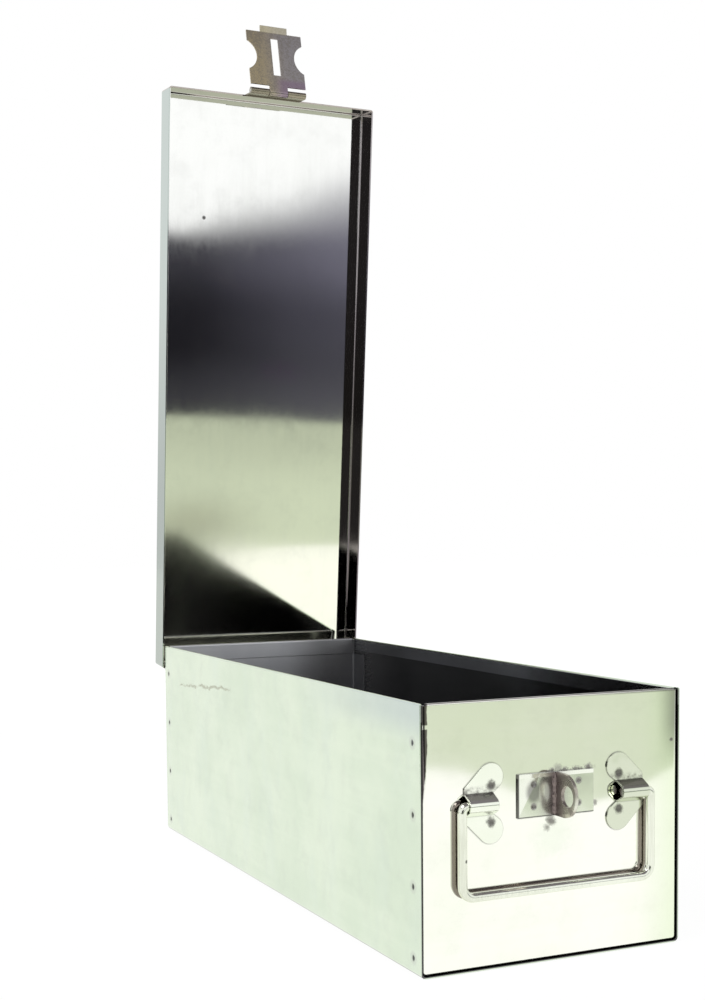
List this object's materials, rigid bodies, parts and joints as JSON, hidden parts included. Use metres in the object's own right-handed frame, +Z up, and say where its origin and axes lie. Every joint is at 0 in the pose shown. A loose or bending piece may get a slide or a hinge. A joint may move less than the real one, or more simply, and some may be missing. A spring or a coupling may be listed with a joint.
{
  "type": "safe deposit box",
  "caption": "Long narrow folded-sheet box with a full-length hinged lid, a slotted swinging hasp over a padlock eye, and a hanging wire carry handle.",
  "frame": {"origin": "middle of the underside of the body, on the surface that the box stands on", "axes": "+Z up; the front, with the handle and the padlock eye, faces -Y; +X to the right as seen from the front"},
  "size_m": [0.1292, 0.3705, 0.4773],
  "materials": {
    "bright_sheet": "bright tinned sheet, lightly smudged",
    "front_sheet": "bright tinned sheet",
    "hinge_steel": "satin",
    "pin_steel": "drawn wire",
    "hasp_steel": "brushed, slightly dulled",
    "eye_steel": "heat-tinted by brazing",
    "handle_wire": "bright drawn wire"
  },
  "bodies": {
    "box": {"body_wrapper": "bright_sheet", "front_panel": "front_sheet", "back_panel": "bright_sheet", "hinge_body_leaf": "hinge_steel", "hinge_pin": "pin_steel", "staple_plate": "front_sheet", "staple_eye": "eye_steel", "bracket_left": "front_sheet", "bracket_right": "front_sheet"},
    "lid": {"lid": "bright_sheet", "hinge_lid_leaf": "hinge_steel", "hasp_leaf": "hasp_steel", "hasp_pin": "pin_steel"},
    "hasp": {"hasp_plate": "hasp_steel"},
    "handle": {"bail_handle": "handle_wire"}
  },
  "joints": [
    {"name": "lid_hinge", "type": "hinge", "parent": "box", "child": "lid", "pos_m": [0, 0.17015, 0.098], "axis": [-1, 0, 0], "range_deg": [-84.65, 100]},
    {"name": "hasp_hinge", "type": "hinge", "parent": "lid", "child": "hasp", "pos_m": [0, 0.1321, 0.43731], "axis": [-1, 0, 0], "range_deg": [-108, 75]},
    {"name": "handle_hinge", "type": "hinge", "parent": "box", "child": "handle", "pos_m": [0, -0.1712, 0.0694], "axis": [-1, 0, 0], "range_deg": [-1.5, 160]}
  ]
}
